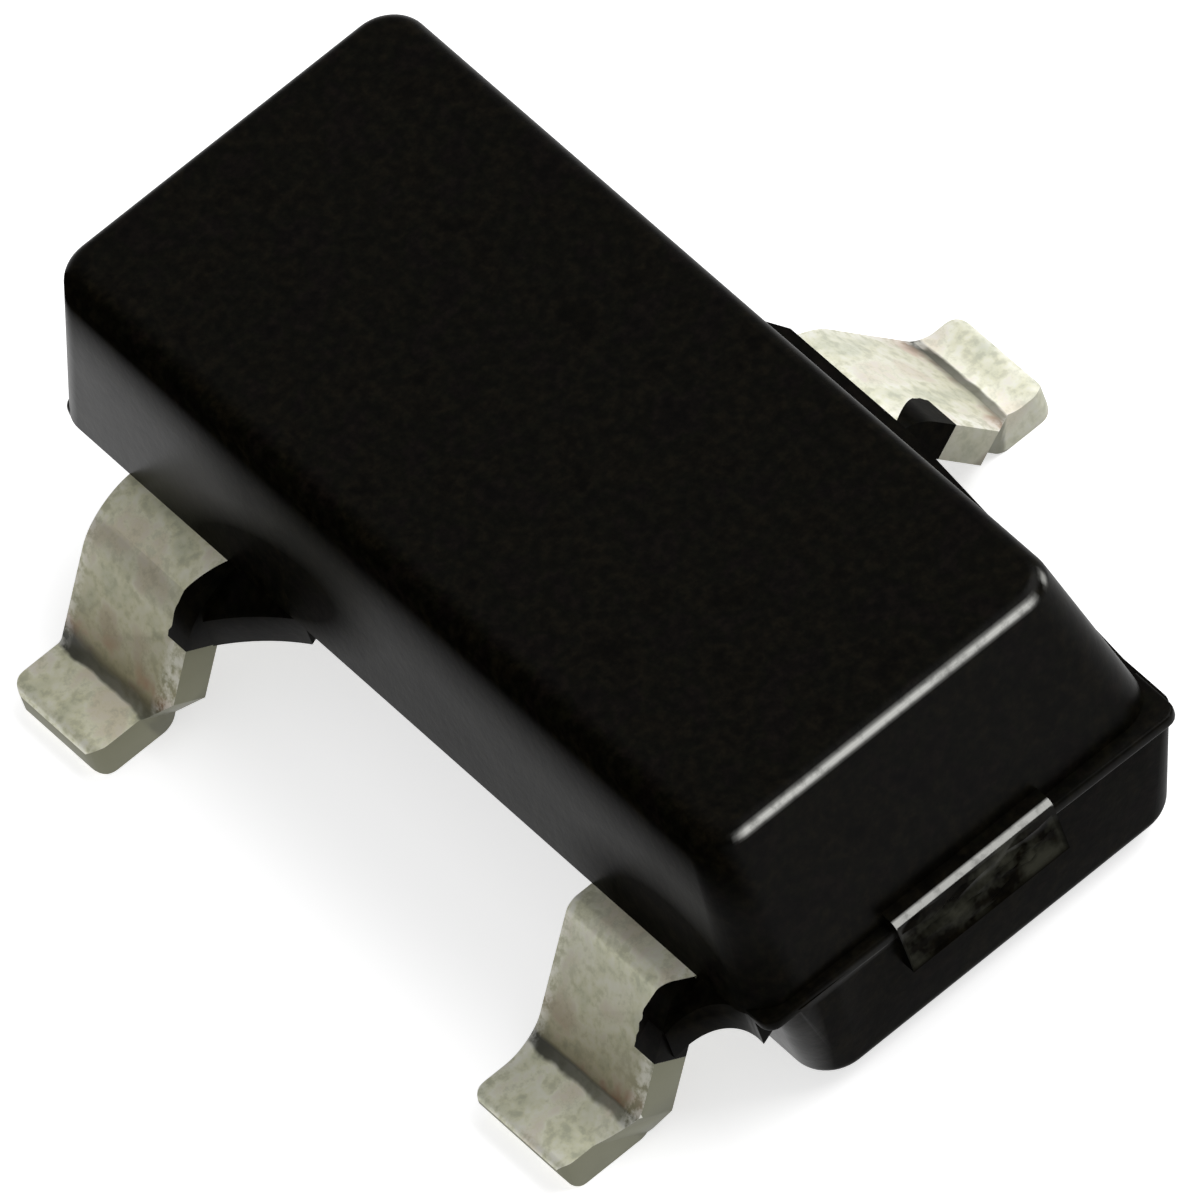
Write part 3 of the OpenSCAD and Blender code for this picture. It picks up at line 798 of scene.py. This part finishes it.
def add(tree, kind, inputs, stops=(), **settings):
    """Adds a shader node with its settings, its ramp's stops, and its inputs' values or links.

    A node that is given as an input is linked by its first output."""
    made = tree.nodes.new("ShaderNode" + kind)
    for name, value in settings.items():
        setattr(made, name, value)
    for name, value in inputs.items():
        if isinstance(value, bpy.types.Node):
            value = value.outputs[0]
        if isinstance(value, bpy.types.NodeSocket):
            tree.links.new(value, made.inputs[name])
        else:
            made.inputs[name].default_value = value
    if stops:
        points = made.color_ramp.elements
        while len(points) < len(stops):
            points.new(0.5)
        for point, (place, colour) in zip(points, stops):
            point.position = place
            point.color = linear(colour)
    return made


def new_material(name):
    """A material and its node tree, which is still empty."""
    material = bpy.data.materials.new(name)
    material.use_nodes = True
    tree = material.node_tree
    tree.nodes.clear()
    return material, tree


def place_in_mm(tree):
    """The place on the piece, in millimetres, for patterns."""
    place = add(tree, "TexCoord", {}).outputs["Object"]
    return add(tree, "Mapping", {"Vector": place, "Scale": (MM, MM, MM)})


def moulded_epoxy(finishes):
    """Black epoxy filled with silica, moulded against a spark-eroded steel face.

    The silica and the mould's grain give the eye a nearly black, faintly mottled surface. Its front has a
    soft
    sheen at a flat angle, painted by place: a painted reflection grows toward the far end, painted shade
    fades it near its top edge and beside the webs, and it is weaker on the lower half. A painted highlight
    of pale colour lies on the top edge at the gate's end and on the gate's ledge, and the gate's torn face
    is greyish in places."""
    material, tree = new_material("black_filled_epoxy_moulded")
    mm = place_in_mm(tree)
    compound = finishes.compound
    torn, wear_and_painted_light = (
        add(tree, "Attribute", {}, attribute_name=name).outputs["Fac"]
        for name in ("torn", "wear_and_painted_light")
    )
    # Grains of silica up to 0.03 mm wide, and clouds of 0.14 mm where it flowed
    grain = add(tree, "TexNoise", {"Vector": mm, "Scale": 30.0, "Detail": 4.0, "Roughness": 0.6})
    clouds = add(tree, "TexNoise", {"Vector": mm, "Scale": 7.0, "Detail": 4.0, "Roughness": 0.6})
    blacks = [(0.36, shade(compound, 0.6)), (0.5, compound), (0.64, shade(compound, 1.5))]
    dark = add(tree, "ValToRGB", {"Fac": grain}, blacks)
    tints = [(0.34, "#a8a088"), (0.44, "#fff2d8"), (0.52, "#c4cbb0"), (0.6, "#f2dce0"), (0.68, "#b4a8ac")]
    tint = add(tree, "ValToRGB", {"Fac": clouds}, tints)
    body = add(tree, "MixRGB", {"Fac": 0.9, "Color1": dark, "Color2": tint}, blend_type="MULTIPLY")
    broken = add(tree, "MapRange", {"Value": clouds, "From Min": 0.44, "From Max": 0.6, "To Max": 0.8})
    chips = add(tree, "Math", {0: torn, 1: broken}, operation="MULTIPLY")
    chipped = add(tree, "MixRGB", {"Fac": chips, "Color1": body, "Color2": linear("#3c3c33")})
    # The painted highlight, broken up by the grain
    patchy = add(tree, "MapRange", {"Value": grain, "From Min": 0.3, "From Max": 0.5, "To Min": 0.6})
    pale = add(tree, "Math", {0: wear_and_painted_light, 1: patchy}, operation="MULTIPLY")
    colour = add(tree, "MixRGB", {"Fac": pale, "Color1": chipped, "Color2": linear(finishes.highlight_paint)})
    sheen = add(tree, "MapRange", {"Value": clouds, "To Min": 0.26, "To Max": 0.38})

    # The front's sheen is painted: a painted reflection grows toward the far end, painted shade fades it
    # toward the top edge, and two spots of painted shade lie beside the webs
    x, y, z = add(tree, "SeparateXYZ", {"Vector": mm}).outputs
    front = add(tree, "MapRange", {"Value": y, "From Min": -0.5, "From Max": -0.54})
    lower = add(tree, "MapRange", {"Value": z, "From Min": 0.42, "From Max": 0.44, "To Min": 0.15})
    fading = {"Value": z, "From Min": 0.93, "From Max": 0.66}
    fading = add(tree, "MapRange", fading, interpolation_type="SMOOTHSTEP")
    far_end = {"Value": x, "From Min": -0.6, "From Max": -1.3, "To Min": 1.0, "To Max": 4.0}
    glossy = add(tree, "Math", {0: fading, 1: add(tree, "MapRange", far_end)}, operation="MULTIPLY")
    # Spots of painted shade beside the webs, where the webs and the leads' sides would be seen mirrored
    beside_base = {"Location": (-0.57, 0, 0.54), "Rotation": (0, -0.36, 0), "Scale": (0.58, 20, 0.2)}
    beside_emitter = {"Location": (1.1, 0, 0.5), "Rotation": (0, 0, 0), "Scale": (0.46, 20, 0.26)}
    for spot in (beside_base, beside_emitter):
        placed = add(tree, "Mapping", {"Vector": mm, **spot}, vector_type="TEXTURE")
        ball = add(tree, "TexGradient", {"Vector": placed}, gradient_type="SPHERICAL").outputs["Fac"]
        shade_spot = add(tree, "MapRange", {"Value": ball, "From Max": 0.45, "To Min": 1.0, "To Max": 0.08})
        glossy = add(tree, "Math", {0: glossy, 1: shade_spot}, operation="MULTIPLY")
    shiny = add(tree, "Mix", {"Factor": front, "A": lower, "B": glossy})

    surface = {
        "Base Color": colour,
        "Roughness": sheen,
        "Specular IOR Level": add(tree, "Math", {0: shiny, 1: 0.055}, operation="MULTIPLY"),
        "Normal": add(tree, "Bump", {"Strength": 0.25, "Distance": 0.000003, "Height": grain}),
    }
    add(tree, "OutputMaterial", {"Surface": add(tree, "BsdfPrincipled", surface)})
    return material


def tinned_frame(finishes):
    """Copper-alloy lead frame plated with matte tin, then bent, trimmed and handled.

    The eye sees a pale, slightly yellow metal with a fine grain. The front leads are painted darker and the
    back lead lighter and less metallic, as painted shade and light for how the key lamp falls on them. The
    leg, where the bending tool rubs it, is smoother and greyer, and painted darker toward the crease as
    painted shade. The crease is dark with soiling and painted shade, with a little bare copper above it.
    The toe's cut face is bare and dark, the sheared sides are painted dark as painted shade, and the
    sheared edges carry a painted highlight along their burr."""
    material, tree = new_material("matte_tin_on_copper")
    mm = place_in_mm(tree)
    tin = finishes.tin
    run, across, burr, cut, tone = (
        add(tree, "Attribute", {}, attribute_name=name).outputs["Fac"]
        for name in ("run", "across", "burr", "cut", "tone")
    )
    # Handling marks 0.12 mm wide. The plating's real grain of 0.005 mm is too fine to show, so 0.03 mm
    soft = add(tree, "TexNoise", {"Vector": mm, "Scale": 8.0, "Detail": 3.0, "Roughness": 0.55})
    grain = add(tree, "TexNoise", {"Vector": mm, "Scale": 32.0, "Detail": 4.0, "Roughness": 0.65})
    speckles = [(0.38, shade(tin, 0.92)), (0.5, shade(tin, 0.99)), (0.6, shade(tin, 1.03))]
    speckled = add(tree, "ValToRGB", {"Fac": grain}, speckles)
    marks = [(0.36, "#dcdecf"), (0.45, "#f2f1e0"), (0.53, "#fffef6"), (0.62, "#f4ebe2")]
    marked = add(tree, "ValToRGB", {"Fac": soft}, marks)
    plate = add(tree, "MixRGB", {"Fac": 0.8, "Color1": speckled, "Color2": marked}, blend_type="MULTIPLY")

    # What bending left on the leg, and painted shade darkening it toward the crease. third is the place
    # along the
    # strip: 1/3 at the knee, 2/3 at the crease
    shaken = add(tree, "Math", {0: soft, 1: 0.24, 2: run}, operation="MULTIPLY_ADD")
    third = add(tree, "MapRange", {"Value": shaken, "From Min": 0.12, "From Max": 3.12})
    # Greyer down the leg, and painted darker toward the crease as painted shade
    greys = [(0.33, "#ffffff"), (0.38, "#e2e2e2"), (0.52, "#cac8c2"), (0.64, "#9c9484"), (0.67, "#ffffff")]
    wear_and_painted_light = add(tree, "ValToRGB", {"Fac": third}, greys)
    front_shade = add(tree, "MapRange", {"Value": tone, "From Min": 0.5, "To Min": 1.0, "To Max": 0.5})
    leg = add(tree, "MixRGB", {"Fac": front_shade, "Color1": plate, "Color2": wear_and_painted_light}, blend_type="MULTIPLY")
    above_crease = [(0.58, "#000000"), (0.635, "#ffffff"), (0.66, "#000000")]
    above_crease = add(tree, "ValToRGB", {"Fac": third}, above_crease)
    spots = add(tree, "MapRange", {"Value": soft, "From Min": 0.5, "From Max": 0.6, "To Max": 0.5})
    bare = add(tree, "Math", {0: above_crease, 1: spots}, operation="MULTIPLY")
    patchy = add(tree, "MixRGB", {"Fac": bare, "Color1": leg, "Color2": linear(finishes.copper)})
    # The crease, dark with soiling and painted shade, darkest on the plain side
    crease = [(0.615, "#000000"), (0.65, "#ffffff"), (0.678, "#ffffff"), (0.695, "#000000")]
    crease = add(tree, "ValToRGB", {"Fac": third}, crease)
    filled = add(tree, "MapRange", {"Value": across, "From Min": -1.0, "To Min": 1.0, "To Max": 0.7})
    crease_shade_mask = add(tree, "Math", {0: crease, 1: filled}, operation="MULTIPLY")
    crease_shaded = add(tree, "MixRGB", {"Fac": crease_shade_mask, "Color1": patchy, "Color2": linear(finishes.crease_grime_shade)})

    # The sheared sides, painted dark as painted shade, and each lead's painted light and shade: 0 is the
    # base,
    # 0.5 the emitter and 1 the collector. The front leads are painted darker, as in the body's shade
    # The sheared sides are painted dark as painted shade, and the toe's cut end is bare metal
    bare_end_and_shaded_side = add(tree, "Math", {0: cut, 1: front_shade}, operation="MULTIPLY")
    sheared = add(tree, "MixRGB", {"Fac": bare_end_and_shaded_side, "Color1": crease_shaded, "Color2": linear(finishes.bare_end_and_side_shade)})
    light_per_lead = add(tree, "ValToRGB", {"Fac": tone}, [(0.0, "#f2f1e4"), (0.5, "#eeeee4"), (1.0, "#fffffa")])
    lit_and_shaded = add(tree, "MixRGB", {"Fac": 1.0, "Color1": sheared, "Color2": light_per_lead}, blend_type="MULTIPLY")

    # Painted highlights on the burr of the sheared edges and on the rims of the sides and toe, broken up by
    # the grain
    aside = add(tree, "Math", {0: across}, operation="ABSOLUTE")
    side_rim = add(tree, "MapRange", {"Value": aside, "From Min": 0.8, "From Max": 0.98, "To Max": 0.6})
    toe_rim = add(tree, "MapRange", {"Value": third, "From Min": 0.93, "From Max": 0.98, "To Max": 0.6})
    rim = add(tree, "Math", {0: side_rim, 1: toe_rim}, operation="MAXIMUM")
    face_rim = add(tree, "Math", {0: rim, 1: cut}, operation="SUBTRACT")
    edge = add(tree, "Math", {0: face_rim, 1: burr}, operation="MAXIMUM", use_clamp=True)
    broken = add(tree, "MapRange", {"Value": grain, "From Min": 0.4, "From Max": 0.58, "To Max": 0.8})
    bright = add(tree, "Math", {0: edge, 1: broken}, operation="MULTIPLY")
    edged = add(tree, "MixRGB", {"Fac": bright, "Color1": lit_and_shaded, "Color2": linear("#fbfaf2")})

    # The crease's soiling and painted shade are no metal, and the front leads are more metallic than the
    # back one, which is painted lighter as the lit lead
    clean = add(tree, "MapRange", {"Value": crease_shade_mask, "To Min": 1.0, "To Max": 0.0})
    metal = add(tree, "MapRange", {"Value": tone, "From Min": 0.5, "To Min": 0.6, "To Max": 0.1})
    surface = {
        "Base Color": edged,
        "Metallic": add(tree, "Math", {0: clean, 1: metal}, operation="MULTIPLY"),
        "Roughness": add(tree, "MapRange", {"Value": soft, "To Min": 0.4, "To Max": 0.6}),
        "Normal": add(tree, "Bump", {"Strength": 0.2, "Distance": 0.000003, "Height": grain}),
    }
    add(tree, "OutputMaterial", {"Surface": add(tree, "BsdfPrincipled", surface)})
    return material


def inner_material(name, pattern, stops, metallic, roughness):
    """A finish of a sealed piece: a colour that wanders with one pattern, given by its kind and inputs."""
    material, tree = new_material(name)
    kind, inputs = pattern
    pattern = add(tree, kind, {"Vector": place_in_mm(tree), **inputs})
    colour = add(tree, "ValToRGB", {"Fac": pattern}, stops)
    surface = {"Base Color": colour, "Metallic": metallic, "Roughness": roughness}
    add(tree, "OutputMaterial", {"Surface": add(tree, "BsdfPrincipled", surface)})
    return material


def polished_silicon():
    """Silicon chip, polished and oxidised, with metal films for pads and resistors: dark and blue-grey.

    The oxide's colour changes over 0.07 mm."""
    film = ("TexNoise", {"Scale": 14.0, "Detail": 2.0})
    stops = [(0.35, "#3c4052"), (0.65, "#59607a")]
    return inner_material("polished_silicon_with_oxide", film, stops, 0.5, 0.18)


def silver_filled_resin():
    """Silver flakes of 0.008 mm in epoxy: a dull grey that sparkles in small grains."""
    flakes = ("TexVoronoi", {"Scale": 120.0})
    return inner_material("silver_filled_resin", flakes, [(0.1, "#c2c4c6"), (0.6, "#7d8083")], 0.7, 0.5)


def drawn_gold(gold):
    """Gold wire drawn through a die: warm and bright, with faint streaks of 0.017 mm along it."""
    streaks = ("TexNoise", {"Scale": 60.0, "Detail": 2.0})
    stops = [(0.35, shade(gold, 0.9)), (0.65, shade(gold, 1.05))]
    return inner_material("drawn_gold_wire", streaks, stops, 1.0, 0.22)


class TRANSISTOR_OT_inner_finishes(Operator):
    """Give the sealed chip, its resin and the bond wires their finishes"""

    bl_idname = "transistor.inner_finishes"
    bl_label = "Inner finishes"

    def execute(self, context):
        gold = drawn_gold(context.scene.finishes.gold)
        for node, material in zip(INNER_NODES, (polished_silicon(), silver_filled_resin(), gold, gold)):
            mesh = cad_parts[node].data
            mesh.materials.clear()
            mesh.materials.append(material)
        return {"FINISHED"}


class TRANSISTOR_OT_stage(Operator):
    """Set up the pale floor, the soft light and the photograph's camera"""

    bl_idname = "transistor.stage"
    bl_label = "Stage"

    def execute(self, context):
        scene, studio = context.scene, context.scene.studio_settings
        aim = Vector(studio.aim)
        self.floor(studio.floor_lift)
        self.world(scene, studio.world_level)
        self.key_lamp(scene, studio.key_level, aim)
        turn = (
            Matrix.Rotation(studio.azimuth, 4, "Z")
            @ Matrix.Rotation(math.pi / 2 - studio.elevation, 4, "X")
            @ Matrix.Rotation(studio.roll, 4, "Z")
        )
        data = bpy.data.cameras.new("camera")
        data.lens = studio.lens
        data.clip_start = 0.01
        data.clip_end = 10
        camera = bpy.data.objects.new("camera", data)
        scene.collection.objects.link(camera)
        camera.matrix_world = Matrix.Translation(aim + turn.col[2].to_3d() * studio.distance) @ turn
        scene.camera = camera
        scene.view_settings.view_transform = "Standard"
        return {"FINISHED"}

    @staticmethod
    def key_lamp(scene, level, aim):
        """A soft lamp from above the back. level is the light it gives a surface that faces it."""
        direction, distance = Vector((0.15, 0.6, 0.78)).normalized(), 0.2
        data = bpy.data.lights.new("key_lamp", "AREA")
        data.shape = "RECTANGLE"
        data.size, data.size_y = 0.2, 0.14
        data.energy = level * (math.pi * distance) ** 2
        lamp = bpy.data.objects.new("key_lamp", data)
        scene.collection.objects.link(lamp)
        lamp.location = aim + direction * distance
        lamp.rotation_euler = direction.to_track_quat("Z", "Y").to_euler()

    @staticmethod
    def floor(lift):
        """A white sheet. The camera sees it lifted, with its shadow, and a shiny surface sees it white."""
        bpy.ops.object.select_all(action="DESELECT")
        bpy.ops.mesh.primitive_plane_add(size=0.6)
        floor = bpy.context.object
        floor.name = "floor"
        material, tree = new_material("white_paper_sheet")
        rays = add(tree, "LightPath", {}).outputs
        lifted = add(tree, "Math", {0: rays["Is Camera Ray"], 1: lift}, operation="MULTIPLY")
        sheet = {
            "Base Color": linear("#efefef"),
            "Roughness": 0.9,
            "Specular IOR Level": 0.0,
            "Emission Color": WHITE,
            "Emission Strength": lifted,
        }
        paper = add(tree, "BsdfPrincipled", sheet)
        white = add(tree, "Emission", {"Color": WHITE, "Strength": 1.0})
        other_rays = {0: rays["Is Glossy Ray"], 1: rays["Is Transmission Ray"]}
        mirrored = add(tree, "Math", other_rays, operation="MAXIMUM")
        seen = add(tree, "MixShader", {0: mirrored, 1: paper, 2: white})
        add(tree, "OutputMaterial", {"Surface": seen})
        floor.data.materials.append(material)

    @staticmethod
    def world(scene, level):
        """Even light of this level, which the camera sees as white."""
        scene.world = bpy.data.worlds.new("even_light")
        scene.world.use_nodes = True
        tree = scene.world.node_tree
        tree.nodes.clear()
        to_camera = add(tree, "LightPath", {}).outputs["Is Camera Ray"]
        light = add(tree, "Background", {"Color": WHITE, "Strength": level})
        white = add(tree, "Background", {"Color": WHITE, "Strength": 1.0})
        add(tree, "OutputWorld", {"Surface": add(tree, "MixShader", {0: to_camera, 1: light, 2: white})})


GROUPS = {
    "moulding_sizes": MouldingSizes,
    "lead_sizes": LeadSizes,
    "finishes": Finishes,
    "studio_settings": StudioSettings,
}
OPERATORS = (TRANSISTOR_OT_moulding, TRANSISTOR_OT_leads, TRANSISTOR_OT_inner_finishes, TRANSISTOR_OT_stage)


class TRANSISTOR_PT_panel(Panel):
    """Sizes, finishes and steps of the transistor"""

    bl_idname = "TRANSISTOR_PT_panel"
    bl_label = "Digital transistor"
    bl_space_type = "VIEW_3D"
    bl_region_type = "UI"
    bl_category = "Transistor"

    def draw(self, context):
        for name in GROUPS:
            group = getattr(context.scene, name)
            box = self.layout.box()
            for setting in group.__annotations__:
                box.prop(group, setting)
        for operator in OPERATORS:
            self.layout.operator(operator.bl_idname)


CLASSES = (*GROUPS.values(), *OPERATORS, TRANSISTOR_PT_panel)


def register():
    for cls in CLASSES:
        bpy.utils.register_class(cls)
    for name, group in GROUPS.items():
        setattr(bpy.types.Scene, name, PointerProperty(type=group))


def unregister():
    for name in GROUPS:
        delattr(bpy.types.Scene, name)
    for cls in reversed(CLASSES):
        bpy.utils.unregister_class(cls)


def main():
    register()
    bpy.ops.transistor.moulding()
    bpy.ops.transistor.leads()
    bpy.ops.transistor.inner_finishes()
    bpy.ops.transistor.stage()


if __name__ == "__main__":
    main()
